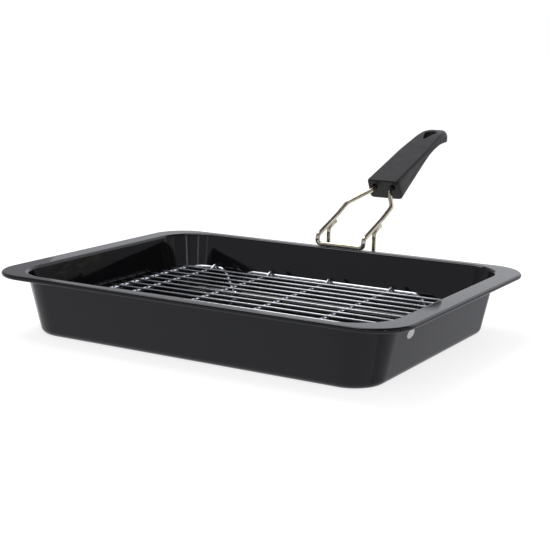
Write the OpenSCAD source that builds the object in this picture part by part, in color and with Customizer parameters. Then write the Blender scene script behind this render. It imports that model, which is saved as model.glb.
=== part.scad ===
// Broiler pan: a pressed enamelled pan, a wire rack that stands in it and a wire handle
// hooked over its back edge. Origin on the floor under the pan's middle, +X along its
// length, +Y towards the handle, +Z up. Millimetres.

/* [Pan] */
// Length over the rolled edge
pan_length = 385; // [350:1:420]
// Width over the rolled edge
pan_width = 275; // [250:1:300]
// Height from the bottom to the top of the flange
pan_height = 54; // [50:1:62]
// Thickness of the steel
sheet = 1.0; // [0.8:0.1:1.2]
// Flange width at the two short ends
end_flange = 17; // [15:0.5:22]
// Flange width at the front and back
side_flange = 8; // [7.5:0.5:10]
// Corner radius of the flange seen from above
flange_corner = 35; // [30:1:40]
// Corner radius of the opening seen from above
opening_corner = 40; // [36:1:46]
// Lean of the walls from upright, in degrees
wall_draft = 12.3; // [8:0.1:14]
// Radius of the bend between flange and wall
top_bend = 3; // [2:0.5:4]
// Radius of the bend between wall and floor
floor_bend = 6; // [4:0.5:8]
// Diameter of the rolled edge
curl_d = 4; // [3.5:0.1:4.5]
// Angle the rolled edge is turned through, in degrees
curl_turn = 260; // [220:5:270]

/* [Rack] */
// Height of the frame's top above the pan's floor
rack_height = 26.4; // [24:0.2:32]
// Diameter of the frame wire
frame_d = 4; // [3.4:0.1:4.4]
// Diameter of the cross wires
cross_d = 3; // [2.4:0.1:3.2]
// Diameter of the long wires
long_d = 2.0; // [1.8:0.1:3]
// Free space between the frame and the pan's left wall
play_left = 20.9; // [4:0.1:24]
// Free space between the frame and the pan's right wall
play_right = 1.6; // [1.6:0.1:12]
// Free space between the frame and the pan's front wall
play_front = 13.3; // [8:0.1:18]
// Free space between the frame and the pan's back wall
play_back = 14.3; // [8:0.1:18]
// Corner radius of the frame seen from above
frame_corner = 18; // [12:1:24]
// Distance from the frame's end to the tip of a foot
foot_inset = 48.8; // [46:0.2:56]
// Slope of a foot's legs, in degrees
foot_slope = 64; // [58:1:70]
// Bend radius at a foot's tip
foot_tip = 4.5; // [3.5:0.5:6]
// Bend radius at a foot's shoulders
foot_shoulder = 10; // [6:0.5:11]
// Distance from the frame's end to the first cross wire
cross_inset = 26.2; // [22:0.2:34]
// Distance from the frame's side to the first long wire
long_inset = 21.7; // [16:0.1:28]
// Length of a cross wire past the frame's side
cross_past = 5; // [4:0.5:7]
// Length of a long wire past the frame's end
long_past = 3; // [2.2:0.1:3]

/* [Handle] */
// Sideways place of the handle from the pan's middle
handle_x = 4.5; // [-60:0.5:60]
// Diameter of the handle's main wire
handle_d = 4.5; // [4:0.1:5]
// Diameter of the wire that goes under the flange
hook_d = 4; // [3.4:0.1:4.4]
// Distance between the two arms
arm_spacing = 49; // [46:0.5:56]
// Distance of the bar on the flange from the pan's back edge
bar_in = 6.5; // [5:0.1:7]
// Height of the upright part from the flange to the arms
arm_rise = 10.4; // [9.5:0.1:13]
// Slope of the arms, in degrees
arm_slope = 21; // [18:0.5:24]
// Slope of the neck, where the wire runs on to the grip, in degrees
neck_slope = 25; // [22:0.5:28]
// Distance from the pan's back edge to the bend between arms and neck
knee_out = 30.5; // [28:0.5:34]
// Distance from the pan's back edge to where the arms close in
close_out = 52; // [50:0.5:56]
// Distance between the two ends of the wire in the grip
port_spacing = 19.4; // [17:0.2:21]
// Distance from the pan's back edge to the hook's upright legs
leg_out = 15; // [13:0.5:18]
// Depth of the hook's cross piece below the top of the flange
hook_drop = 16; // [13:0.5:22]

/* [Grip] */
// Width at the front
grip_width = 35.6; // [34:0.2:40]
// Width towards the tip
tip_width = 31.6; // [28:0.2:34]
// Distance of the front face from the pan's back edge
grip_out = 82.6; // [80:0.2:90]
// Length over all, seen from above
grip_length = 133.5; // [130:0.5:145]
// Height of the front face
grip_height = 22.6; // [21:0.2:24]
// Lean of the front face from upright, in degrees
face_tilt = 27; // [24:0.5:29]
// Length of the straight part of the top
grip_straight = 106.7; // [98:0.5:115]
// Slope of the top, in degrees
grip_slope = 18.9; // [16:0.1:21]
// Slope of the underside, in degrees
under_slope = 30.9; // [29.5:0.1:32]
// Thickness at the tip
tip_thick = 12.3; // [11:0.1:14]
// Radius of the tip's corners seen from above
tip_corner = 13; // [8:0.5:14.5]
// Rounding of the long edges
grip_round = 2.6; // [1.5:0.1:3]
// Width of the hanging hole
hang_width = 11; // [8:0.2:12]
// Length of the hanging hole
hang_length = 19; // [17:0.2:22]
// Distance of the hole's round end from the tip
hang_inset = 15; // [13:0.5:18]
// Depth of the two holes that hold the wire
port_depth = 14; // [10:0.5:18]
// Slope of the two holes, in degrees
port_slope = 24.15; // [23:0.05:26]
// Distance from the wire's last bend to the grip
port_lead = 7; // [6.5:0.5:9]

/* [Hidden] */
$fn = 48;

// clearances
seat_gap = 0.04;
handle_gap = 0.12;
port_gap = 0.12;

// where the leaning wall meets a bend it runs this far into it, and is this much slimmer
lap = 0.1;
lap_step = 0.005;

// pan section: s runs inward from the edge of the opening, z up
open_x = pan_length / 2 - end_flange;
open_y = pan_width / 2 - side_flange;
bend_top_z = pan_height - top_bend;
wall_top_s = top_bend * cos(wall_draft);
wall_top_z = bend_top_z + top_bend * sin(wall_draft);
wall_low_z = sheet + floor_bend * (1 - sin(wall_draft));
wall_low_s = wall_top_s + (wall_top_z - wall_low_z) * tan(wall_draft);
floor_s = wall_low_s + floor_bend * cos(wall_draft);
curl_r = curl_d / 2;

// inner face of the wall at a height, and its outer face
function inner_s(z) = wall_top_s + (wall_top_z - z) * tan(wall_draft);
function outer_s(z) = inner_s(z) - sheet / cos(wall_draft);

// rack
rack_z = sheet + seat_gap + rack_height - frame_d / 2;
room_x = open_x - inner_s(rack_z);
room_y = open_y - inner_s(rack_z);
frame_x = room_x - (play_left + play_right + frame_d) / 2;
frame_y = room_y - (play_front + play_back + frame_d) / 2;
rack_x = (play_left - play_right) / 2;
rack_y = (play_front - play_back) / 2;
foot_x = frame_x - foot_inset;
foot_bottom_z = sheet + seat_gap + frame_d / 2;
foot_tip_half = foot_tip * tan(foot_slope / 2) + 0.02;
foot_half = foot_tip_half + (rack_z - foot_bottom_z) / tan(foot_slope);
frame_top_z = rack_z + frame_d / 2;
cross_z = frame_top_z - cross_d / 2;
cross_end_z = frame_top_z + cross_d / 2 + seat_gap;
cross_pitch = (frame_x - cross_inset) / 2;
long_z = frame_top_z + long_d / 2 + seat_gap;
long_pitch = (frame_y - long_inset) * 2 / 11;

// handle
back_y = pan_width / 2;
arm_x = arm_spacing / 2;
bar_y = back_y - bar_in;
bar_z = pan_height + handle_d / 2 + handle_gap;
arm_low_z = pan_height + arm_rise;
knee_y = back_y + knee_out;
knee_z = arm_low_z + (knee_y - bar_y) * tan(arm_slope);
close_y = back_y + close_out;
close_z = knee_z + (close_y - knee_y) * tan(neck_slope);
face_y = back_y + grip_out;
port_y = face_y - port_lead;
port_z = knee_z + (port_y - knee_y) * tan(neck_slope);
wire_end = port_lead / cos(port_slope) + port_depth - 1;

// hook: tips under the arms, upright legs behind the rolled edge
under_arm = (handle_d + hook_d) / 2 + handle_gap;
leg_y = back_y + leg_out;
hook_top_z = arm_low_z + (leg_y - bar_y) * tan(arm_slope) - under_arm / cos(arm_slope);
hook_tip_y = knee_y - 1;
hook_tip_z = hook_top_z + (hook_tip_y - leg_y) * tan(arm_slope);
hook_z = pan_height - hook_drop;
hook_bar_y = open_y - outer_s(hook_z) + (hook_d / 2 + handle_gap) / cos(wall_draft);

// grip section: y and z of its corners and of the two arcs' middles
top_y = face_y - grip_height * 0.16;
top_z = port_z + (face_y - port_y) * tan(port_slope) + grip_height * 0.327;
straight_y = top_y + grip_straight * cos(grip_slope - 1);
straight_z = top_z + (straight_y - top_y) * tan(grip_slope);
tip_z = straight_z + tip_thick * 0.52;
arc_r = (tip_z - straight_z) / (1 - cos(grip_slope));
arc_y = straight_y + arc_r * sin(grip_slope);
arc_z = tip_z - arc_r;
under_y = top_y + grip_height * sin(face_tilt);
under_z = top_z - grip_height * cos(face_tilt);
under_rise = grip_height * 1.5;
tip_under_z = tip_z - tip_thick;
under_r = (tip_under_z - under_z - under_rise) / (1 - cos(under_slope));
bend_y = under_y + under_rise / tan(under_slope);
bend_z = under_z + under_rise;
under_arc_y = bend_y + under_r * sin(under_slope);
under_arc_z = tip_under_z - under_r;
tip_y = top_y + grip_length;
end_y = max(tip_y, arc_y, under_arc_y) + tip_thick;
hang_y = tip_y - hang_inset;

// rectangle with round corners, from its half sizes
module round_rect(hx, hy, r) {
  square([2 * hx, 2 * (hy - r)], center = true);
  square([2 * (hx - r), 2 * hy], center = true);
  for (sx = [-1, 1], sy = [-1, 1])
    translate([sx * (hx - r), sy * (hy - r)]) circle(r);
}

module ring(r_in, r_out) {
  difference() {
    circle(r_out);
    circle(r_in);
  }
}

// a flat section carried round a rectangle with round corners, its x pointing outward
module carried_round(hx, hy, r) {
  for (k = [0:3]) {
    ax = k % 2 == 0 ? hx : hy;
    ay = k % 2 == 0 ? hy : hx;
    rotate([0, 0, 90 * k]) {
      translate([ax, ay - r, 0]) rotate([90, 0, 0]) linear_extrude(2 * (ay - r)) children();
      translate([ax - r, ay - r, 0]) rotate_extrude(angle = 90) translate([r, 0]) children();
    }
  }
}

// quarter of a ring that stops at a leaning line
module bend_section(r_in, r_out, corner) {
  intersection() {
    ring(r_in, r_out);
    translate(corner * 2 * r_out) square(2 * r_out);
    rotate(-wall_draft) translate([-3 * r_out, corner[1] < 0 ? -6 * r_out : 0]) square(6 * r_out);
  }
}

// strip of flange, bend, leaning wall, bend and strip of floor
module wall_section() {
  lean = [sin(wall_draft), cos(wall_draft)];
  face = [cos(wall_draft), -sin(wall_draft)];
  top = [-wall_top_s, wall_top_z];
  low = [-wall_low_s, wall_low_z];
  polygon([
    top + lap * lean + lap_step * face,
    low - lap * lean + lap_step * face,
    low - lap * lean + (sheet - lap_step) * face,
    top + lap * lean + (sheet - lap_step) * face]);
  translate([0, bend_top_z]) {
    bend_section(top_bend - sheet, top_bend, [-1, 0]);
    translate([0, top_bend - sheet]) square([3, sheet]);
  }
  translate([-floor_s, sheet + floor_bend]) {
    bend_section(floor_bend, floor_bend + sheet, [0, -1]);
    translate([-3, -floor_bend - sheet]) square([3, sheet]);
  }
}

// rolled edge, open on the inside, with a strip of the flange
module curl_section() {
  translate([-curl_r, pan_height - curl_r]) {
    difference() {
      ring(curl_r - sheet, curl_r);
      polygon(concat([[0, 0], [0, 2 * curl_r]], [for (i = [1:4])
        2 * curl_r * [cos(90 + (360 - curl_turn) * i / 4), sin(90 + (360 - curl_turn) * i / 4)]]));
    }
    translate([-2, curl_r - sheet]) square([2, sheet]);
  }
}

module pan() {
  color([0.07, 0.07, 0.075]) {
    linear_extrude(sheet)
      round_rect(open_x - floor_s - 1, open_y - floor_s - 1, opening_corner - floor_s - 1);
    carried_round(open_x, open_y, opening_corner) wall_section();
    translate([0, 0, pan_height - sheet]) linear_extrude(sheet) difference() {
      round_rect(pan_length / 2 - curl_r - 1, pan_width / 2 - curl_r - 1, flange_corner - curl_r - 1);
      round_rect(open_x + 1, open_y + 1, opening_corner + 1);
    }
    carried_round(pan_length / 2, pan_width / 2, flange_corner) curl_section();
  }
}

// bent wire: straight rods between its corner points and a round bend at each, every
// piece placed in the frame that the one before it ends in. p holds [point, bend radius]
// pairs, and the two ends have no bend
function unit(v) = v / norm(v);
function bend_angle(a, p, c) = acos(unit(p - a) * unit(c - p));
function bend_cut(a, p, c, r) = r * tan(bend_angle(a, p, c) / 2);

// an angle within 0.004 degrees whose sine and cosine are whole millionths, so that a
// turned frame keeps its scale to the last digit
function steady(a) = abs(sin(a)) > 0.9999 || abs(cos(a)) > 0.9999 ? a :
  let (s = round(sin(a) * 1e6),
    c = [for (k = [-60:60]) sqrt(1e12 - pow(s + k, 2))],
    off = [for (q = c) abs(q - round(q))],
    best = search(min(off), off)[0])
  atan2(s + best - 60, sign(cos(a)) * round(c[best]));

module after_bend(r, turn) {
  translate([r, 0, 0]) rotate([0, turn, 0]) translate([-r, 0, 0]) children();
}

module wire_bend(r, turn, d) {
  intersection() {
    translate([r, 0, 0]) rotate([90, 0, 0]) rotate_extrude() translate([r, 0]) circle(d = d);
    translate([-d, -d, 0]) cube([r + d, 2 * d, r + d]);
    after_bend(r, turn) translate([-d, -d, -r - d]) cube([r + d, 2 * d, r + d]);
  }
}

module wire_from(p, i, d, x_way) {
  last = len(p) - 1;
  a = p[i][0];
  b = p[i + 1][0];
  way = unit(b - a);
  cut_a = i > 0 ? bend_cut(p[i - 1][0], a, b, p[i][1]) : 0;
  cut_b = i + 1 < last ? bend_cut(a, b, p[i + 2][0], p[i + 1][1]) : 0;
  run = norm(b - a) - cut_a - cut_b;
  cylinder(h = run, d = d);
  if (i + 1 < last) {
    r = p[i + 1][1];
    turn = steady(bend_angle(a, b, p[i + 2][0]));
    side = unit(unit(p[i + 2][0] - b) - way * cos(turn));
    roll = steady(atan2(side * cross(way, x_way), side * x_way));
    translate([0, 0, run]) rotate([0, 0, roll]) {
      wire_bend(r, turn, d);
      after_bend(r, turn) wire_from(p, i + 1, d, side * cos(turn) - way * sin(turn));
    }
  }
}

module bent_wire(p, d) {
  v = unit(p[1][0] - p[0][0]);
  tilt = acos(v[2]);
  spin = atan2(v[1], v[0]);
  translate(p[0][0]) rotate([0, tilt, spin])
    wire_from(p, 0, d, [cos(tilt) * cos(spin), cos(tilt) * sin(spin), -sin(tilt)]);
}

// one side of the frame's path along +x at y = 0, with its two feet
function foot_path(x) = [
  [[x - foot_half, 0, rack_z], foot_shoulder],
  [[x - foot_tip_half, 0, foot_bottom_z], foot_tip],
  [[x + foot_tip_half, 0, foot_bottom_z], foot_tip],
  [[x + foot_half, 0, rack_z], foot_shoulder]];
function quarter_frame() = concat(
  [[[-frame_x, 0, rack_z], 0], [[-frame_x, -frame_y, rack_z], frame_corner]],
  [for (q = foot_path(-foot_x)) [q[0] - [0, frame_y, 0], q[1]]],
  [[[2, -frame_y, rack_z], 0]]);

module rack_frame() {
  color([0.8, 0.8, 0.82]) translate([rack_x, rack_y, 0])
    for (sx = [0, 1], sy = [0, 1])
      mirror([sx, 0, 0]) mirror([0, sy, 0]) intersection() {
        bent_wire(quarter_frame(), frame_d);
        translate([-200, -200, -1]) cube([200, 200, 60]);
      }
}

module long_wire(i) {
  color([0.8, 0.8, 0.82])
    translate([rack_x - frame_x - long_past, rack_y - (i - 6.5) * long_pitch, long_z])
      rotate([0, 90, 0]) cylinder(h = 2 * (frame_x + long_past), d = long_d);
}

module rack_long_wire_01() { long_wire(1); }
module rack_long_wire_02() { long_wire(2); }
module rack_long_wire_03() { long_wire(3); }
module rack_long_wire_04() { long_wire(4); }
module rack_long_wire_05() { long_wire(5); }
module rack_long_wire_06() { long_wire(6); }
module rack_long_wire_07() { long_wire(7); }
module rack_long_wire_08() { long_wire(8); }
module rack_long_wire_09() { long_wire(9); }
module rack_long_wire_10() { long_wire(10); }
module rack_long_wire_11() { long_wire(11); }
module rack_long_wire_12() { long_wire(12); }

// a cross wire steps up over the frame's sides and rests on them
module cross_wire(i) {
  step_out = frame_y - frame_d / 2 - cross_d / 2 - 1;
  step_in = step_out - 6;
  color([0.8, 0.8, 0.82]) translate([rack_x + (i - 3) * cross_pitch, rack_y, 0])
    bent_wire([
      [[0, -frame_y - cross_past, cross_end_z], 0],
      [[0, -step_out, cross_end_z], 4],
      [[0, -step_in, cross_z], 4],
      [[0, step_in, cross_z], 4],
      [[0, step_out, cross_end_z], 4],
      [[0, frame_y + cross_past, cross_end_z], 0]], cross_d);
}

module rack_cross_wire_1() { cross_wire(1); }
module rack_cross_wire_2() { cross_wire(2); }
module rack_cross_wire_3() { cross_wire(3); }
module rack_cross_wire_4() { cross_wire(4); }
module rack_cross_wire_5() { cross_wire(5); }

// main wire: out of the grip, down one arm, across the flange and back up the other
module handle_wire() {
  port_x = port_spacing / 2;
  end_y = port_y + wire_end * cos(port_slope);
  end_z = port_z + wire_end * sin(port_slope);
  color([0.72, 0.68, 0.6]) translate([handle_x, 0, 0])
    bent_wire([
      [[-port_x, end_y, end_z], 0],
      [[-port_x, port_y, port_z], 8],
      [[-arm_x, close_y, close_z], 14],
      [[-arm_x, knee_y, knee_z], 30],
      [[-arm_x, bar_y, arm_low_z], 5],
      [[-arm_x, bar_y, bar_z], 4],
      [[arm_x, bar_y, bar_z], 4],
      [[arm_x, bar_y, arm_low_z], 5],
      [[arm_x, knee_y, knee_z], 30],
      [[arm_x, close_y, close_z], 14],
      [[port_x, port_y, port_z], 8],
      [[port_x, end_y, end_z], 0]], handle_d);
}

// hook wire: from under one arm down behind the rolled edge, in to the wall and back
module handle_hook_wire() {
  color([0.72, 0.68, 0.6]) translate([handle_x, 0, 0])
    bent_wire([
      [[-arm_x, hook_tip_y, hook_tip_z], 0],
      [[-arm_x, leg_y, hook_top_z], 5],
      [[-arm_x, leg_y, hook_z], 6],
      [[-arm_x, hook_bar_y, hook_z], 5],
      [[arm_x, hook_bar_y, hook_z], 5],
      [[arm_x, leg_y, hook_z], 6],
      [[arm_x, leg_y, hook_top_z], 5],
      [[arm_x, hook_tip_y, hook_tip_z], 0]], hook_d);
}

// side view of the grip, y to the right and z up: each curve is a run of short chords
function arc_points(y, z, r, slope) =
  [for (i = [0:18]) [y - r * sin(slope * (1 - i / 18)), z + r * cos(slope * (1 - i / 18))]];

module grip_side() {
  top = arc_points(arc_y, arc_z, arc_r, grip_slope);
  under = arc_points(under_arc_y, under_arc_z, under_r, under_slope);
  polygon(concat([[top_y, top_z]], top, [[end_y, tip_z], [end_y, tip_under_z]],
    [for (i = [18:-1:0]) under[i]], [[under_y, under_z]]));
}

// the grip seen from above, y away from the pan
module grip_plan() {
  hw = tip_width / 2;
  polygon([[-grip_width / 2, top_y], [grip_width / 2, top_y],
    [hw, straight_y], [hw, tip_y - tip_corner], [-hw, tip_y - tip_corner], [-hw, straight_y]]);
  for (s = [-1, 1]) translate([s * (hw - tip_corner), tip_y - tip_corner]) circle(tip_corner);
  translate([tip_corner - hw, tip_y - 2 * tip_corner])
    square([2 * (hw - tip_corner), 2 * tip_corner]);
}

// hanging hole: round at the back, narrow at the front
module hang_outline() {
  r = hang_width / 2;
  circle(r);
  far = hang_length - r;
  small = 1.5;
  a = asin((r - small) / (far - small));
  translate([0, small - far]) circle(small);
  polygon([
    [r * cos(a), -r * sin(a)],
    [small * cos(a), small - far - small * sin(a)],
    [-small * cos(a), small - far - small * sin(a)],
    [-r * cos(a), -r * sin(a)]]);
}

// what is cut off a straight top edge from point a to b on side s
module edge_cut(a, b, s) {
  v = b - a;
  translate(a) rotate([0, 0, -atan2(v[0], v[1])]) rotate([90 + asin(v[2] / norm(v)), 0, 0])
    translate([0, 0, -norm(v) - 0.01]) linear_extrude(norm(v) + 20) difference() {
      translate([s > 0 ? -grip_round : -10, -grip_round]) square([10 + grip_round, 10]);
      translate([-s * grip_round, -grip_round]) circle(grip_round);
    }
}

module handle_grip() {
  port_x = port_spacing / 2;
  color([0.09, 0.09, 0.095]) translate([handle_x, 0, 0]) difference() {
    intersection() {
      translate([-grip_width, 0, 0]) rotate([90, 0, 90]) linear_extrude(2 * grip_width) grip_side();
      translate([0, 0, under_z - 5]) linear_extrude(tip_z - under_z + 10) grip_plan();
    }
    for (s = [-1, 1]) {
      edge_cut([s * grip_width / 2, top_y, top_z], [s * tip_width / 2, straight_y, straight_z], s);
      translate([s * port_x, port_y, port_z]) rotate([port_slope - 90, 0, 0]) {
        cylinder(h = wire_end + 1, d = handle_d + 2 * port_gap);
        translate([0, 0, handle_d]) cylinder(h = 2 * handle_d, d1 = 1.8 * handle_d, d2 = 1.1 * handle_d);
      }
    }
    translate([0, hang_y, under_z]) linear_extrude(2 * (tip_z - under_z)) hang_outline();
  }
}

pan();
rack_frame();
rack_long_wire_01();
rack_long_wire_02();
rack_long_wire_03();
rack_long_wire_04();
rack_long_wire_05();
rack_long_wire_06();
rack_long_wire_07();
rack_long_wire_08();
rack_long_wire_09();
rack_long_wire_10();
rack_long_wire_11();
rack_long_wire_12();
rack_cross_wire_1();
rack_cross_wire_2();
rack_cross_wire_3();
rack_cross_wire_4();
rack_cross_wire_5();
handle_wire();
handle_hook_wire();
handle_grip();
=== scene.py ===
from math import ceil, cos, degrees, radians, sin, sqrt, tan

import bmesh
import bpy
from mathutils import Matrix, Vector


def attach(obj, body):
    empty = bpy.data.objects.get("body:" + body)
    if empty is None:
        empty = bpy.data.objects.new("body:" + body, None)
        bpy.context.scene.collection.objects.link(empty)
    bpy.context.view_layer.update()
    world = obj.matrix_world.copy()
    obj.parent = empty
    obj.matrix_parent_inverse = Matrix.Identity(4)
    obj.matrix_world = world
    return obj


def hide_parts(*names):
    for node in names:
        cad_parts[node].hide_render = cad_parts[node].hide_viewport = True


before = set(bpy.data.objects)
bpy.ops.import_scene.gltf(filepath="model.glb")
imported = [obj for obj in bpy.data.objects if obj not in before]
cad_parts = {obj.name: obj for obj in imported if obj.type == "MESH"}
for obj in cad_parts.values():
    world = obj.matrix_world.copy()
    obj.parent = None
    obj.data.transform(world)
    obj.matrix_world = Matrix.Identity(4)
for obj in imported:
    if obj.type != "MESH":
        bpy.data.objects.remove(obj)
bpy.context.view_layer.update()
scene = bpy.context.scene
scene.view_settings.view_transform = "Standard"
mm = 0.001  # every piece is modelled in millimetres and made metres at the end


# Camera

cameraSetup = {"place": (547.81, -883.71, 262.13), "yaw": 0.5449, "pitch": 0.2013, "roll": 0.0108,
               "lens": 80.77, "sensor": 36}


def placeCamera(setup):
    yaw, pitch, roll = setup["yaw"], setup["pitch"], setup["roll"]
    back = Vector((sin(yaw) * cos(pitch), -cos(yaw) * cos(pitch), sin(pitch)))
    level = Vector((0, 0, 1)).cross(back).normalized()
    up = back.cross(level)
    right = level * cos(roll) + up * sin(roll)
    top = up * cos(roll) - level * sin(roll)
    camera = bpy.data.objects.new("photoCamera", bpy.data.cameras.new("photoCamera"))
    camera.data.sensor_width = setup["sensor"]
    camera.data.lens = setup["lens"]
    camera.data.clip_start = 0.05
    turned = Matrix((right, top, back)).transposed().to_4x4()
    camera.matrix_world = Matrix.Translation(Vector(setup["place"]) * mm) @ turned
    scene.collection.objects.link(camera)
    scene.camera = camera


placeCamera(cameraSetup)


# Materials

def nodeOf(tree, kind):
    return next(n for n in tree.nodes if n.type == kind)


def startMaterial(name):
    material = bpy.data.materials.new(name)
    material.use_nodes = True
    tree = material.node_tree
    where = tree.nodes.new("ShaderNodeTexCoord").outputs["Object"]
    return material, tree, nodeOf(tree, "BSDF_PRINCIPLED"), where


def noise(tree, where, scale, detail=2.0, rough=0.5):
    node = tree.nodes.new("ShaderNodeTexNoise")
    node.inputs["Scale"].default_value = scale
    node.inputs["Detail"].default_value = detail
    node.inputs["Roughness"].default_value = rough
    tree.links.new(where, node.inputs["Vector"])
    return node.outputs["Fac"]


def spread(tree, value, low, high, start=0.3, end=0.7):
    node = tree.nodes.new("ShaderNodeMapRange")
    node.inputs["From Min"].default_value = start
    node.inputs["From Max"].default_value = end
    node.inputs["To Min"].default_value = low
    node.inputs["To Max"].default_value = high
    tree.links.new(value, node.inputs["Value"])
    return node.outputs["Result"]


def tint(tree, value, dark, light, start=0.3, end=0.7):
    node = tree.nodes.new("ShaderNodeValToRGB")
    node.color_ramp.elements[0].position = start
    node.color_ramp.elements[0].color = (*dark, 1)
    node.color_ramp.elements[1].position = end
    node.color_ramp.elements[1].color = (*light, 1)
    tree.links.new(value, node.inputs["Fac"])
    return node.outputs["Color"]


def bump(tree, value, strength, distance, under=None):
    node = tree.nodes.new("ShaderNodeBump")
    node.inputs["Strength"].default_value = strength
    node.inputs["Distance"].default_value = distance
    tree.links.new(value, node.inputs["Height"])
    if under:
        tree.links.new(under, node.inputs["Normal"])
    return node.outputs["Normal"]


enamelLook = {"dark": (0.004, 0.004, 0.0048), "light": (0.008, 0.008, 0.0096), "rough": (0.03, 0.08),
              "shine": 0.32, "ripple": 0.25, "peel": 0.05}


def makeEnamel(look):
    material, tree, shader, where = startMaterial("blackEnamel")
    links = tree.links
    speckle = tint(tree, noise(tree, where, 1700, 1), look["dark"], look["light"], 0.55, 0.7)
    links.new(speckle, shader.inputs["Base Color"])
    shader.inputs["Specular IOR Level"].default_value = look["shine"]
    links.new(spread(tree, noise(tree, where, 35, 5, 0.6), *look["rough"]), shader.inputs["Roughness"])
    ripple = bump(tree, noise(tree, where, 16, 1), look["ripple"], 0.0008)  # the sheet is never dead flat
    links.new(bump(tree, noise(tree, where, 420, 2), look["peel"], 0.0002, ripple), shader.inputs["Normal"])
    return material


def makePlating(name, dark, light, rough):
    material, tree, shader, where = startMaterial(name)
    links = tree.links
    shader.inputs["Metallic"].default_value = 1
    links.new(tint(tree, noise(tree, where, 55, 4, 0.6), dark, light), shader.inputs["Base Color"])
    links.new(spread(tree, noise(tree, where, 130, 4, 0.6), *rough), shader.inputs["Roughness"])
    links.new(bump(tree, noise(tree, where, 700, 3), 0.06, 0.0002), shader.inputs["Normal"])
    return material


plasticLook = {"dark": (0.008, 0.008, 0.009), "light": (0.013, 0.013, 0.014), "rough": (0.36, 0.48),
               "shine": 0.31, "grain": 0.16}


def makePlastic(look):
    material, tree, shader, where = startMaterial("satinPlastic")
    links = tree.links
    shader.inputs["Specular IOR Level"].default_value = look["shine"]
    links.new(tint(tree, noise(tree, where, 90, 4), look["dark"], look["light"]), shader.inputs["Base Color"])
    links.new(spread(tree, noise(tree, where, 60, 5, 0.6), *look["rough"]), shader.inputs["Roughness"])
    links.new(bump(tree, noise(tree, where, 2600, 2), look["grain"], 0.0001), shader.inputs["Normal"])
    return material


def makePaper():
    material, tree, shader, where = startMaterial("palePaper")
    links = tree.links
    shader.inputs["Roughness"].default_value = 0.55
    pale = tint(tree, noise(tree, where, 900, 4), (0.70, 0.70, 0.70), (0.80, 0.80, 0.80))
    links.new(pale, shader.inputs["Base Color"])
    links.new(bump(tree, noise(tree, where, 3000, 3), 0.1, 0.00005), shader.inputs["Normal"])
    return material


enamel = makeEnamel(enamelLook)
rackPlating = makePlating("brightPlating", (0.50, 0.52, 0.55), (0.66, 0.68, 0.71), (0.09, 0.18))
# painted shade: the long wires and welds get a darker copy of the rack's own plating, which dims their
# reflections; it is not a different plating
shadedPlating = makePlating("shadedWirePlating", (0.38, 0.39, 0.41), (0.54, 0.55, 0.57), (0.10, 0.20))
handlePlating = makePlating("warmPlating", (0.46, 0.425, 0.335), (0.66, 0.62, 0.50), (0.08, 0.18))
plastic = makePlastic(plasticLook)
paper = makePaper()
print("camera and materials made")


# Making pieces

def edgesOf(geom):
    # the vertices in some geometry, and the edges that run between them
    verts = {g for g in geom if isinstance(g, bmesh.types.BMVert)}
    edges = [g for g in geom if isinstance(g, bmesh.types.BMEdge) and set(g.verts) <= verts]
    return list(verts), edges


def pull(bm, edges, move):
    verts, fresh = edgesOf(bmesh.ops.extrude_edge_only(bm, edges=edges)["geom"])
    bmesh.ops.transform(bm, matrix=move, verts=verts)
    return fresh


def swing(bm, geom, centre, axis, angle, steps):
    spun = bmesh.ops.spin(bm, geom=geom, cent=centre, axis=axis, angle=angle, steps=steps,
                          use_duplicate=False)
    return edgesOf(spun["geom_last"])


def sized(centre, factor, shift):
    return Matrix.Translation(centre + shift) @ Matrix.Scale(factor, 4) @ Matrix.Translation(-centre)


def addObject(name, bm):
    mesh = bpy.data.meshes.new(name)
    bm.to_mesh(mesh)
    bm.free()
    thing = bpy.data.objects.new(name, mesh)
    scene.collection.objects.link(thing)
    return thing


def finishPiece(name, bm, material, nodes=(), upward=False):
    bmesh.ops.remove_doubles(bm, verts=bm.verts, dist=0.002)
    bmesh.ops.recalc_face_normals(bm, faces=bm.faces)
    if upward and max(bm.faces, key=lambda f: f.calc_area()).normal.z < 0:
        bmesh.ops.reverse_faces(bm, faces=bm.faces)
    bmesh.ops.scale(bm, vec=(mm, mm, mm), verts=bm.verts)
    piece = addObject(name, bm)
    piece.data.shade_smooth()
    piece.data.materials.append(material)
    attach(piece, "root")
    if nodes:
        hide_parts(*nodes)
    return piece


def balanceNormals(piece):
    weighted = piece.modifiers.new("balancedNormals", "WEIGHTED_NORMAL")
    weighted.keep_sharp = True


# Pan

panSize = {"length": 385, "width": 275, "height": 54, "sheet": 1, "endFlange": 17, "sideFlange": 8,
           "flangeCorner": 35, "openingCorner": 40, "draft": radians(12.3), "topBend": 3, "floorBend": 6,
           "curl": 2, "curlTurn": radians(260), "cornerSteps": 18}
openX = panSize["length"] / 2 - panSize["endFlange"]
openY = panSize["width"] / 2 - panSize["sideFlange"]
wallTopS = panSize["topBend"] * cos(panSize["draft"])
wallTopZ = panSize["height"] - panSize["topBend"] * (1 - sin(panSize["draft"]))
wallLowZ = panSize["sheet"] + panSize["floorBend"] * (1 - sin(panSize["draft"]))
wallLowS = wallTopS + (wallTopZ - wallLowZ) * tan(panSize["draft"])
floorS = wallLowS + panSize["floorBend"] * cos(panSize["draft"])


def innerS(z):
    return wallTopS + (wallTopZ - z) * tan(panSize["draft"])


def outerS(z):
    return innerS(z) - panSize["sheet"] / cos(panSize["draft"])


def quarterRound(bm, edges, halfX, halfY, corner, steps):
    # from the middle of the back, along the straight, round the corner and on to the middle of the end
    edges = pull(bm, edges, Matrix.Translation((halfX - corner, 0, 0)))
    edges = swing(bm, edges, (halfX - corner, halfY - corner, 0), (0, 0, 1), -radians(90), steps)[1]
    pull(bm, edges, Matrix.Translation((0, corner - halfY, 0)))


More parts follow.
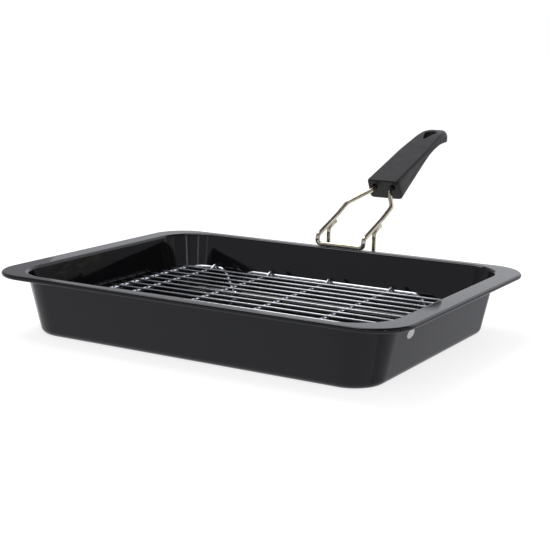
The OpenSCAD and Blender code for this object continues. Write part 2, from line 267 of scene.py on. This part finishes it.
def makePan(size):
    bm = bmesh.new()
    lean = radians(90) - size["draft"]
    first = bm.verts.new((0, openY, size["height"]))  # wall: bend, leaning straight, bend
    verts = swing(bm, [first], (0, openY, size["height"] - size["topBend"]), (1, 0, 0), lean, 8)[0]
    low = bmesh.ops.extrude_vert_indiv(bm, verts=verts)["verts"]
    bmesh.ops.translate(bm, verts=low, vec=(0, wallTopS - wallLowS, wallLowZ - wallTopZ))
    swing(bm, low, (0, openY - floorS, size["sheet"] + size["floorBend"]), (1, 0, 0), -lean, 9)
    quarterRound(bm, list(bm.edges), openX, openY, size["openingCorner"], size["cornerSteps"])
    rim = bmesh.new()
    halfLength, halfWidth = size["length"] / 2, size["width"] / 2
    first = rim.verts.new((0, halfWidth - size["curl"], size["height"]))  # rolled edge
    middle = (0, halfWidth - size["curl"], size["height"] - size["curl"])
    swing(rim, [first], middle, (1, 0, 0), -size["curlTurn"], 16)
    quarterRound(rim, list(rim.edges), halfLength, halfWidth, size["flangeCorner"], size["cornerSteps"])
    rimMesh = bpy.data.meshes.new("rimStrip")
    rim.to_mesh(rimMesh)
    rim.free()
    bm.from_mesh(rimMesh)
    bpy.data.meshes.remove(rimMesh)
    for axis in ("X", "Y"):
        bmesh.ops.mirror(bm, geom=bm.verts[:] + bm.edges[:] + bm.faces[:], axis=axis, merge_dist=0.01)
    bmesh.ops.remove_doubles(bm, verts=bm.verts, dist=0.002)
    top = size["height"] - 0.001
    low = size["sheet"] + 0.001
    flangeEdges = [e for e in bm.edges if e.is_boundary and min(v.co.z for v in e.verts) > top]
    bmesh.ops.bridge_loops(bm, edges=flangeEdges)
    floorEdges = [e for e in bm.edges if e.is_boundary and max(v.co.z for v in e.verts) < low]
    floor = bmesh.ops.edgeloop_fill(bm, edges=floorEdges)["faces"]
    bmesh.ops.inset_region(bm, faces=floor, thickness=2)
    pan = finishPiece("panBody", bm, enamel, ["pan"], upward=True)
    wall = pan.modifiers.new("sheetThickness", "SOLIDIFY")
    wall.thickness = size["sheet"] * mm
    wall.offset = -1
    wall.use_even_offset = True
    balanceNormals(pan)


makePan(panSize)
print("pan made")


# Wires

def bendWire(bm, corners, diameter, capped=True, sides=20):
    # corners holds (point, bend radius); the ring is pulled along the straights and swung round the bends
    points = [Vector(p) for p, r in corners]
    way = (points[1] - points[0]).normalized()
    radius = diameter / 2
    at = points[0].copy()
    facing = Vector((0, 0, 1)).rotation_difference(way).to_matrix().to_4x4()
    size = 0.6 if capped else 1.0
    ring = bmesh.ops.create_circle(bm, cap_ends=capped, radius=radius * size, segments=sides,
                                   matrix=Matrix.Translation(at) @ facing)["verts"]
    edges = edgesOf(ring + list({e for v in ring for e in v.link_edges}))[1]
    rounding = ((0.86 / 0.6, 0.14), (1 / 0.86, 0.3)) if capped else ()
    for factor, along in rounding:
        edges = pull(bm, edges, sized(at, factor, way * along * radius))
        at += way * along * radius
    for i in range(1, len(points) - 1):
        onward = (points[i + 1] - points[i]).normalized()
        turn = way.angle(onward)
        bend = corners[i][1]
        start = points[i] - way * bend * tan(turn / 2)
        edges = pull(bm, edges, Matrix.Translation(start - at))
        inward = (onward - way * cos(turn)).normalized()
        axis = way.cross(onward).normalized()
        edges = swing(bm, edges, start + inward * bend, axis, turn, max(3, ceil(degrees(turn) / 8)))[1]
        at = points[i] + onward * bend * tan(turn / 2)
        way = onward
    stop = points[-1] - way * (0.44 * radius if capped else 0)
    edges = pull(bm, edges, Matrix.Translation(stop - at))
    at = stop
    if capped:
        for factor, along in ((0.86, 0.3), (0.6 / 0.86, 0.14)):
            edges = pull(bm, edges, sized(at, factor, way * along * radius))
            at = at + way * along * radius
        bmesh.ops.edgeloop_fill(bm, edges=edges)


def weldBead(bm, place, size, turn=0):
    matrix = Matrix.Translation(place) @ Matrix.Rotation(turn, 4, "X") @ Matrix.Diagonal((*size, 1))
    bmesh.ops.create_icosphere(bm, subdivisions=2, radius=1, matrix=matrix)


seatGap = 0.04
handleGap = 0.12
rackSize = {"height": 26.4, "frameWire": 4, "crossWire": 3, "longWire": 2.0,
            "playLeft": 20.9, "playRight": 1.6, "playFront": 13.3, "playBack": 14.3, "frameCorner": 18,
            "footInset": 48.8, "footSlope": radians(64), "footTip": 4.5, "footShoulder": 10,
            "crossInset": 26.2, "longInset": 21.7, "crossPast": 5, "longPast": 3, "stepRun": 6, "stepBend": 4,
            "topBead": (1.1, 1.0, 0.45), "sideBead": (1.5, 1.3, 0.55)}
rackZ = panSize["sheet"] + seatGap + rackSize["height"] - rackSize["frameWire"] / 2
frameX = openX - innerS(rackZ) - (rackSize["playLeft"] + rackSize["playRight"] + rackSize["frameWire"]) / 2
frameY = openY - innerS(rackZ) - (rackSize["playFront"] + rackSize["playBack"] + rackSize["frameWire"]) / 2
rackMiddle = Vector(((rackSize["playLeft"] - rackSize["playRight"]) / 2,
                     (rackSize["playFront"] - rackSize["playBack"]) / 2, 0))
frameTopZ = rackZ + rackSize["frameWire"] / 2
crossZ = frameTopZ - rackSize["crossWire"] / 2
crossEndZ = frameTopZ + rackSize["crossWire"] / 2 + seatGap
longZ = frameTopZ + rackSize["longWire"] / 2 + seatGap
crossPitch = (frameX - rackSize["crossInset"]) / 2
longPitch = (frameY - rackSize["longInset"]) * 2 / 11


def makeRackFrame(size):
    bm = bmesh.new()
    footX = size["footInset"] - frameX
    tipHalf = size["footTip"] * tan(size["footSlope"] / 2) + 0.02
    bottom = panSize["sheet"] + seatGap + size["frameWire"] / 2
    footHalf = tipHalf + (rackZ - bottom) / tan(size["footSlope"])
    path = [((-frameX, 0, rackZ), 0), ((-frameX, -frameY, rackZ), size["frameCorner"]),
            ((footX - footHalf, -frameY, rackZ), size["footShoulder"]),
            ((footX - tipHalf, -frameY, bottom), size["footTip"]),
            ((footX + tipHalf, -frameY, bottom), size["footTip"]),
            ((footX + footHalf, -frameY, rackZ), size["footShoulder"]), ((0, -frameY, rackZ), 0)]
    bendWire(bm, path, size["frameWire"], capped=False)  # a quarter of the frame, with one foot
    for axis in ("X", "Y"):
        bmesh.ops.mirror(bm, geom=bm.verts[:] + bm.edges[:] + bm.faces[:], axis=axis, merge_dist=0.01)
    bmesh.ops.translate(bm, verts=bm.verts, vec=rackMiddle)
    finishPiece("rackFrame", bm, rackPlating, ["rack_frame"])


def makeCrossWires(size):
    bm = bmesh.new()
    stepOut = frameY - size["frameWire"] / 2 - size["crossWire"] / 2 - 1
    stepIn = stepOut - size["stepRun"]
    bend = size["stepBend"]
    end = frameY + size["crossPast"]
    for i in range(5):
        x = rackMiddle.x + (i - 2) * crossPitch
        y = rackMiddle.y
        path = [((x, y - end, crossEndZ), 0), ((x, y - stepOut, crossEndZ), bend),
                ((x, y - stepIn, crossZ), bend), ((x, y + stepIn, crossZ), bend),
                ((x, y + stepOut, crossEndZ), bend), ((x, y + end, crossEndZ), 0)]
        bendWire(bm, path, size["crossWire"])
    finishPiece("rackCrossWires", bm, rackPlating, ["rack_cross_wire_%d" % (i + 1) for i in range(5)])


def makeLongWires(size):
    bm = bmesh.new()
    reach = frameX + size["longPast"]
    for i in range(12):
        y = rackMiddle.y + (5.5 - i) * longPitch
        path = [((rackMiddle.x - reach, y, longZ), 0), ((rackMiddle.x + reach, y, longZ), 0)]
        bendWire(bm, path, size["longWire"])
    nodes = ["rack_long_wire_%02d" % (i + 1) for i in range(12)]
    # the darker plating copy here is painted shade
    finishPiece("rackLongWires", bm, shadedPlating, nodes)


def makeRackWelds(size):
    # a low bead where two wires are pressed together
    bm = bmesh.new()
    for row in range(12):
        y = rackMiddle.y + (5.5 - row) * longPitch
        for x in [(i - 2) * crossPitch for i in range(5)] + [-frameX, frameX]:
            weldBead(bm, (rackMiddle.x + x, y, frameTopZ), size["topBead"])
    for side in (-1, 1):
        y = rackMiddle.y + side * frameY
        for i in range(5):
            weldBead(bm, (rackMiddle.x + (i - 2) * crossPitch, y, frameTopZ), size["sideBead"])
    # the darker plating copy here is painted shade
    finishPiece("rackWelds", bm, shadedPlating)


makeRackFrame(rackSize)
makeCrossWires(rackSize)
makeLongWires(rackSize)
makeRackWelds(rackSize)
print("rack made")


# Handle

handleSize = {"x": 4.5, "wire": 4.5, "hookWire": 4, "armSpacing": 49, "barIn": 6.5, "armRise": 10.4,
              "armSlope": radians(21), "neckSlope": radians(25), "kneeOut": 30.5, "closeOut": 52,
              "portSpacing": 19.4, "legOut": 15, "hookDrop": 16, "gripSlope": radians(18.9),
              "underSlope": radians(30.9), "portDepth": 14, "portSlope": radians(24.15), "portLead": 7,
              "gripOut": 82.6, "portBend": 8, "closeBend": 14, "kneeBend": 30, "riseBend": 5, "barBend": 4,
              "hookTopBend": 5, "hookLowBend": 6, "bead": (1.5, 2.0, 0.7)}
backY = panSize["width"] / 2
armX = handleSize["armSpacing"] / 2
portX = handleSize["portSpacing"] / 2
barY = backY - handleSize["barIn"]
barZ = panSize["height"] + handleSize["wire"] / 2 + handleGap
armLowZ = panSize["height"] + handleSize["armRise"]
kneeY = backY + handleSize["kneeOut"]
kneeZ = armLowZ + (kneeY - barY) * tan(handleSize["armSlope"])
closeY = backY + handleSize["closeOut"]
closeZ = kneeZ + (closeY - kneeY) * tan(handleSize["neckSlope"])
faceY = backY + handleSize["gripOut"]
portY = faceY - handleSize["portLead"]
portZ = kneeZ + (portY - kneeY) * tan(handleSize["neckSlope"])
portSlope = handleSize["portSlope"]
wireEnd = handleSize["portLead"] / cos(portSlope) + handleSize["portDepth"] - 1
legY = backY + handleSize["legOut"]
underArm = (handleSize["wire"] + handleSize["hookWire"]) / 2 + handleGap
hookTopZ = armLowZ + (legY - barY) * tan(handleSize["armSlope"]) - underArm / cos(handleSize["armSlope"])
hookTipY = kneeY - 1
hookTipZ = hookTopZ + (hookTipY - legY) * tan(handleSize["armSlope"])


def bothArms(half):
    # the left arm's points, then the right arm's in reverse
    x = handleSize["x"]
    left = [((x - p[0], p[1], p[2]), r) for p, r in half]
    return left + [((x + p[0], p[1], p[2]), r) for p, r in reversed(half)]


def makeHandleWire(size):
    bm = bmesh.new()
    endY = portY + wireEnd * cos(portSlope)
    endZ = portZ + wireEnd * sin(portSlope)
    half = [((portX, endY, endZ), 0), ((portX, portY, portZ), size["portBend"]),
            ((armX, closeY, closeZ), size["closeBend"]), ((armX, kneeY, kneeZ), size["kneeBend"]),
            ((armX, barY, armLowZ), size["riseBend"]), ((armX, barY, barZ), size["barBend"])]
    bendWire(bm, bothArms(half), size["wire"], sides=24)
    finishPiece("handleWire", bm, handlePlating, ["handle_wire"])


def makeHookWire(size):
    bm = bmesh.new()
    hookZ = panSize["height"] - size["hookDrop"]
    hookY = openY - outerS(hookZ) + (size["hookWire"] / 2 + handleGap) / cos(panSize["draft"])
    half = [((armX, hookTipY, hookTipZ), 0), ((armX, legY, hookTopZ), size["hookTopBend"]),
            ((armX, legY, hookZ), size["hookLowBend"]), ((armX, hookY, hookZ), size["hookTopBend"])]
    bendWire(bm, bothArms(half), size["hookWire"], sides=24)
    finishPiece("hookWire", bm, handlePlating, ["handle_hook_wire"])


def makeHandleWelds(size):
    bm = bmesh.new()
    for side in (-1, 1):
        for along in (7.5, 12):
            y = legY + along
            z = hookTopZ + along * tan(size["armSlope"]) + (size["hookWire"] / 2) / cos(size["armSlope"])
            weldBead(bm, (size["x"] + side * armX, y - 0.7, z), size["bead"], size["armSlope"])
    finishPiece("handleWelds", bm, handlePlating)


makeHandleWire(handleSize)
makeHookWire(handleSize)
makeHandleWelds(handleSize)
print("handle wires made")


# Grip

gripSize = {"width": 35.6, "tipWidth": 31.6, "length": 133.5, "height": 22.6, "straight": 106.7,
            "faceTilt": radians(27), "faceBack": 0.16, "topAbovePort": 0.327, "topCorner": 3.4,
            "lowCorner": 3.6, "tipThick": 12.3, "tipRise": 0.52, "tipLift": 1.6, "tipCorner": 15,
            "tipRound": 5, "shoulder": 5.5, "underRise": 1.5, "hangWidth": 13, "hangLength": 24,
            "hangInset": 16.8, "hangLeft": 1.5, "hangPoint": 1.5, "seam": 0.18, "seamHeight": 11, "rim": 0.5,
            "frontRounding": ((0, 2.0), (0.25, 1.25), (0.8, 0.55), (2.0, 0), (8, 0))}
topY = faceY - gripSize["height"] * gripSize["faceBack"]
topZ = portZ + (faceY - portY) * tan(portSlope) + gripSize["height"] * gripSize["topAbovePort"]
straightY = topY + gripSize["straight"] * cos(handleSize["gripSlope"] - radians(1))
straightZ = topZ + (straightY - topY) * tan(handleSize["gripSlope"])
tipZ = straightZ + gripSize["tipThick"] * gripSize["tipRise"] + gripSize["tipLift"]
tipY = topY + gripSize["length"]
underY = topY + gripSize["height"] * sin(gripSize["faceTilt"])
underZ = topZ - gripSize["height"] * cos(gripSize["faceTilt"])
underRise = gripSize["height"] * gripSize["underRise"]
hangX = handleSize["x"] - gripSize["hangLeft"]
hangY = tipY - gripSize["hangInset"]


def gripTop(y):
    slope = handleSize["gripSlope"]
    radius = (tipZ - straightZ) / (1 - cos(slope))
    if y < straightY:
        return topZ + (y - topY) * tan(slope)
    away = min(y - straightY - radius * sin(slope), 0)
    return tipZ - radius + sqrt(radius * radius - away * away)


def gripUnder(y):
    slope = handleSize["underSlope"]
    low = tipZ - gripSize["tipThick"] - gripSize["tipLift"]
    radius = (low - underZ - underRise) / (1 - cos(slope))
    bendY = underY + underRise / tan(slope)
    if y < bendY:
        return underZ + (y - underY) * tan(slope)
    away = min(y - bendY - radius * sin(slope), 0)
    return low - radius + sqrt(radius * radius - away * away)


def gripStation(y, inset=0.0, tipAngle=None):
    # matrix that puts the front section's outline at this place along the grip
    size = gripSize
    share = min(max((y - topY) / (straightY - topY), 0), 1)
    width = size["width"] + (size["tipWidth"] - size["width"]) * share
    pinch = 0
    if tipAngle is not None:
        width -= 2 * size["tipCorner"] * (1 - cos(tipAngle))
        late = max(y - (tipY - size["tipRound"]), 0)
        pinch = size["tipRound"] - sqrt(max(size["tipRound"] ** 2 - late * late, 0))
    lowY = y + (underY - topY) * (1 - share)
    top = Vector((y, gripTop(y) - pinch))
    low = Vector((lowY, gripUnder(lowY) + pinch))
    side = (top - low).normalized()
    top -= side * inset
    low += side * inset
    rise = (top - low) / size["height"]
    return Matrix((((width - 2 * inset) / size["width"], 0, 0, handleSize["x"]), (0, 1, rise.x, low.x),
                   (0, 0, rise.y, low.y), (0, 0, 0, 1)))


def gripOutline(bm):
    # front section standing in the xz plane: four rounded corners and a fine seam on each side
    size = gripSize
    square = bmesh.ops.create_grid(bm, x_segments=1, y_segments=1, size=0.5)["verts"]
    shape = Matrix.Diagonal((size["width"], size["height"], 1, 1))
    stand = Matrix.Translation((0, 0, size["height"] / 2)) @ Matrix.Rotation(radians(90), 4, "X") @ shape
    bmesh.ops.transform(bm, matrix=stand, verts=square)
    upper = [v for v in bm.verts if v.co.z > size["height"] / 2]
    lower = [v for v in bm.verts if v.co.z < size["height"] / 2]
    for corners, offset, segments in ((upper, size["topCorner"], 6), (lower, size["lowCorner"], 7)):
        bmesh.ops.bevel(bm, geom=corners, offset=offset, affect="VERTICES", segments=segments, profile=0.5,
                        material=-1)
    for away in (-4, -0.3, 0, 0.3, 4):
        bmesh.ops.bisect_plane(bm, geom=bm.verts[:] + bm.edges[:] + bm.faces[:], dist=0.0001,
                               plane_co=(0, 0, size["seamHeight"] + away), plane_no=(0, 0, 1))
    bmesh.ops.delete(bm, geom=bm.faces[:], context="FACES_KEEP_BOUNDARY")
    for v in bm.verts:
        if abs(v.co.z - size["seamHeight"]) < 0.01:
            v.co.x -= size["seam"] if v.co.x > 0 else -size["seam"]


def roundShoulders(edges, half, y):
    # the top's long edges get rounder towards the tip
    ring = {v for e in edges for v in e.verts}
    high = max(v.co.z for v in ring)
    radius = min(gripSize["shoulder"] * min(max((y - straightY + 45) / 60, 0), 1), 0.9 * half)
    for v in ring:
        drop = high - v.co.z
        across = v.co.x - handleSize["x"]
        if drop < radius:
            reach = half - radius + sqrt(radius * radius - (radius - drop) ** 2)
            v.co.x = handleSize["x"] + min(max(across, -reach), reach)


def cutPiece(piece, cutter):
    # takes the cutter out of the piece for good
    modifier = piece.modifiers.new("cut", "BOOLEAN")
    modifier.operation = "DIFFERENCE"
    modifier.solver = "EXACT"
    modifier.object = cutter
    cut = bpy.data.meshes.new_from_object(piece.evaluated_get(bpy.context.evaluated_depsgraph_get()))
    piece.modifiers.clear()
    piece.data = cut
    bpy.data.objects.remove(cutter)


def makeCutter(bm):
    bmesh.ops.recalc_face_normals(bm, faces=bm.faces)
    bmesh.ops.scale(bm, vec=(mm, mm, mm), verts=bm.verts)
    return addObject("cutter", bm)


def makeGrip(size):
    bm = bmesh.new()
    gripOutline(bm)
    edges = list(bm.edges)
    stops = [(topY + along, inset, None) for along, inset in size["frontRounding"]]
    stops += [(topY + (straightY - topY) * k / 7, 0, None) for k in range(1, 8)]
    bendLength = tipY - size["tipCorner"] - straightY
    stops += [(straightY + bendLength * k / 7, 0, None) for k in range(1, 7)]
    stops += [(tipY - size["tipCorner"] * (1 - sin(radians(k))), 0, radians(k)) for k in range(0, 91, 10)]
    last = gripStation(*stops[0])
    bmesh.ops.transform(bm, matrix=last, verts=bm.verts)
    bmesh.ops.edgeloop_fill(bm, edges=edges)
    for stop in stops[1:]:
        here = gripStation(*stop)
        edges = pull(bm, edges, here @ last.inverted())
        roundShoulders(edges, here[0][0] * size["width"] / 2, stop[0])
        last = here
    bmesh.ops.edgeloop_fill(bm, edges=edges)
    grip = finishPiece("gripBody", bm, plastic, ["handle_grip"])

    wire = handleSize["wire"]
    bore = wire / 2 + handleGap
    for side in (-1, 1):  # the two holes the wire goes into, each a straight bore and a wider mouth
        run = Matrix.Translation((handleSize["x"] + side * portX, portY, portZ))
        run = run @ Matrix.Rotation(portSlope - radians(90), 4, "X")
        for front, back, depth, middle in ((bore, bore, wireEnd + 1, (wireEnd + 1) / 2),
                                           (0.74 * wire, 0.55 * wire, 2 * wire, 2 * wire)):
            bm = bmesh.new()
            bmesh.ops.create_cone(bm, cap_ends=True, segments=32, radius1=front, radius2=back, depth=depth,
                                  matrix=run @ Matrix.Translation((0, 0, middle)))
            cutPiece(grip, makeCutter(bm))

    bm = bmesh.new()  # hanging hole, round behind and narrow in front
    pointY = hangY - size["hangLength"] + size["hangWidth"] / 2 + size["hangPoint"]
    for z in (underZ, 2 * tipZ - underZ):
        for radius, y in ((size["hangWidth"] / 2, hangY), (size["hangPoint"], pointY)):
            bmesh.ops.create_circle(bm, segments=32, radius=radius, matrix=Matrix.Translation((hangX, y, z)))
    hull = bmesh.ops.convex_hull(bm, input=bm.verts)
    spare = [g for g in hull["geom_interior"] + hull["geom_unused"] if isinstance(g, bmesh.types.BMVert)]
    bmesh.ops.delete(bm, geom=list(set(spare)), context="VERTS")
    bmesh.ops.delete(bm, geom=[e for e in bm.edges if not e.link_faces], context="EDGES")
    cutPiece(grip, makeCutter(bm))
    grip.data.set_sharp_from_angle(angle=radians(55))
    rims = grip.modifiers.new("softRims", "BEVEL")
    rims.limit_method = "ANGLE"
    rims.angle_limit = radians(58)
    rims.width = size["rim"] * mm
    rims.segments = 2
    rims.harden_normals = False
    balanceNormals(grip)


makeGrip(gripSize)
print("grip made")


# Blank label on the right wall

labelSize = {"long": 12, "high": 7.8, "thick": 0.14, "y": -63.2, "z": 35.2}


def makeLabel(size):
    bm = bmesh.new()
    bmesh.ops.create_circle(bm, cap_ends=True, segments=40, radius=size["high"] / 2)
    bmesh.ops.scale(bm, vec=(1, size["long"] / size["high"], 1), verts=bm.verts)
    raised = bmesh.ops.extrude_face_region(bm, geom=bm.faces[:])["geom"]
    upper = [g for g in raised if isinstance(g, bmesh.types.BMVert)]
    bmesh.ops.translate(bm, verts=upper, vec=(0, 0, size["thick"]))
    bmesh.ops.scale(bm, vec=(0.985, 0.985, 1), verts=upper)
    place = Matrix.Translation((openX - outerS(size["z"]) + 0.01, size["y"], size["z"]))
    lean = Matrix.Rotation(radians(90) + panSize["draft"], 4, "Y")
    bmesh.ops.transform(bm, matrix=place @ lean, verts=bm.verts)
    label = finishPiece("roundLabel", bm, paper)
    label.data.set_sharp_from_angle(angle=radians(40))


makeLabel(labelSize)
print("label made")


# Floor, background and light

def seenDirectly(tree):
    path = tree.nodes.new("ShaderNodeLightPath")
    total = path.outputs["Is Camera Ray"]
    for name in ("Is Glossy Ray", "Is Transmission Ray"):
        add = tree.nodes.new("ShaderNodeMath")
        add.operation = "ADD"
        add.use_clamp = True
        tree.links.new(total, add.inputs[0])
        tree.links.new(path.outputs[name], add.inputs[1])
        total = add.outputs[0]
    return total


stageLook = {"floor": 12.0, "floorWhite": 0.52, "glow": 1.45, "worldLight": 0.58}


def makeStage(look):
    bm = bmesh.new()
    bmesh.ops.create_grid(bm, x_segments=1, y_segments=1, size=look["floor"])
    bmesh.ops.translate(bm, verts=bm.verts, vec=(0, 0, -0.0002))
    floor = addObject("floor", bm)
    material, tree, shader = startMaterial("paleFloor")[:3]
    shader.inputs["Base Color"].default_value = (0.9, 0.9, 0.9, 1)
    shader.inputs["Roughness"].default_value = 0.9
    shader.inputs["Specular IOR Level"].default_value = 0.1
    glow = tree.nodes.new("ShaderNodeEmission")
    glow.inputs["Strength"].default_value = look["glow"]
    mix = tree.nodes.new("ShaderNodeMixShader")
    share = tree.nodes.new("ShaderNodeMath")
    share.operation = "MULTIPLY"
    share.inputs[1].default_value = look["floorWhite"]
    tree.links.new(seenDirectly(tree), share.inputs[0])
    tree.links.new(share.outputs[0], mix.inputs[0])
    tree.links.new(shader.outputs[0], mix.inputs[1])
    tree.links.new(glow.outputs[0], mix.inputs[2])
    tree.links.new(mix.outputs[0], nodeOf(tree, "OUTPUT_MATERIAL").inputs["Surface"])
    floor.data.materials.append(material)

    world = scene.world or bpy.data.worlds.new("studio")
    scene.world = world
    world.use_nodes = True
    tree = world.node_tree
    background = nodeOf(tree, "BACKGROUND")
    background.inputs["Color"].default_value = (1, 1, 1, 1)
    level = spread(tree, seenDirectly(tree), look["worldLight"], 1.0, 0, 1)
    tree.links.new(level, background.inputs["Strength"])


def softLamp(name, place, target, width, power, mirrored=True):
    lamp = bpy.data.lights.new(name, "AREA")
    lamp.shape = "SQUARE"
    lamp.size = width
    lamp.energy = power
    holder = bpy.data.objects.new(name, lamp)
    holder.location = place
    holder.visible_glossy = mirrored
    holder.rotation_euler = (Vector(target) - Vector(place)).to_track_quat("-Z", "Y").to_euler()
    scene.collection.objects.link(holder)


def studioCard(name, grey, width, height, place, facing):
    # a grey board round the set, or a grey sheet on the floor as painted shadow, that only mirrors and gloss
    # see
    bm = bmesh.new()
    bmesh.ops.create_grid(bm, x_segments=1, y_segments=1, size=0.5)
    turn = Vector(facing).to_track_quat("Z", "Y").to_matrix().to_4x4()
    stand = Matrix.Translation(place) @ turn @ Matrix.Diagonal((width, height, 1, 1))
    bmesh.ops.transform(bm, matrix=stand, verts=bm.verts)
    card = addObject(name, bm)
    material, tree = startMaterial(name)[:2]
    glow = tree.nodes.new("ShaderNodeEmission")
    glow.inputs["Color"].default_value = (0.975 * grey, 0.985 * grey, 1.05 * grey, 1)  # a cool tinge
    tree.links.new(glow.outputs[0], nodeOf(tree, "OUTPUT_MATERIAL").inputs["Surface"])
    card.data.materials.append(material)
    card.visible_camera = False
    card.visible_diffuse = False
    card.visible_transmission = False
    card.visible_shadow = False


# each card's name, grey, width, height, place and the way it faces
studioCards = (
    ("ceilingCard", 0.10, 4.4, 4.4, (0, 0, 2.2), (0, 0, -1)),
    ("frontCard", 0.58, 4.4, 2.0, (0, -2.2, 1.1), (0, 1, 0)),
    ("leftCard", 0.40, 4.4, 2.0, (-2.2, 0, 1.1), (1, 0, 0)),
    ("backLeftCard", 0.70, 0.82, 2.0, (-1.79, 2.2, 1.1), (0, -1, 0)),
    ("backCard", 0.95, 1.48, 2.0, (-0.64, 2.2, 1.1), (0, -1, 0)),
    ("backRightLowCard", 0.28, 2.1, 0.35, (1.15, 2.2, 0.2), (0, -1, 0)),
    ("backRightHighCard", 1.3, 2.1, 1.6, (1.15, 2.2, 1.2), (0, -1, 0)),
    ("rightCard", 0.45, 4.4, 2.0, (2.2, 0, 1.1), (-1, 0, 0)),
    # painted shadow: the two grey sheets on the floor by the pan stand in for the pan's shadow on the floor,
    # as mirrors and gloss see it
    ("rightFloorShadowCard", 0.58, 0.745, 1.005, (0.5275, 0.3975, 0.0003), (0, 0, 1)),
    ("frontFloorShadowCard", 0.78, 1.8, 0.855, (0, -0.5325, 0.0003), (0, 0, 1)),
    ("windowCard", 1.0, 0.16, 1.2, (2.1, 0.59, 0.9), (-1, 0, 0)),
    ("windowCard", 3.0, 0.16, 1.2, (1.87, -1.16, 0.9), (-1, 0.6, 0)),
    ("windowCard", 2.2, 0.16, 1.2, (0.6, -2.0, 0.9), (-0.3, 1, 0)),
    ("windowCard", 1.2, 0.16, 1.2, (-0.53, -2.0, 0.9), (0, 1, 0)),
)

makeStage(stageLook)
for card in studioCards:
    studioCard(*card)
softLamp("overheadSoft", (-0.6, 0.25, 1.5), (0, 0, 0), 1.0, 13)
softLamp("frontSoft", (1.2, -1.4, 1.0), (0, 0, 0), 0.9, 5, mirrored=False)
print("stage and lights made")
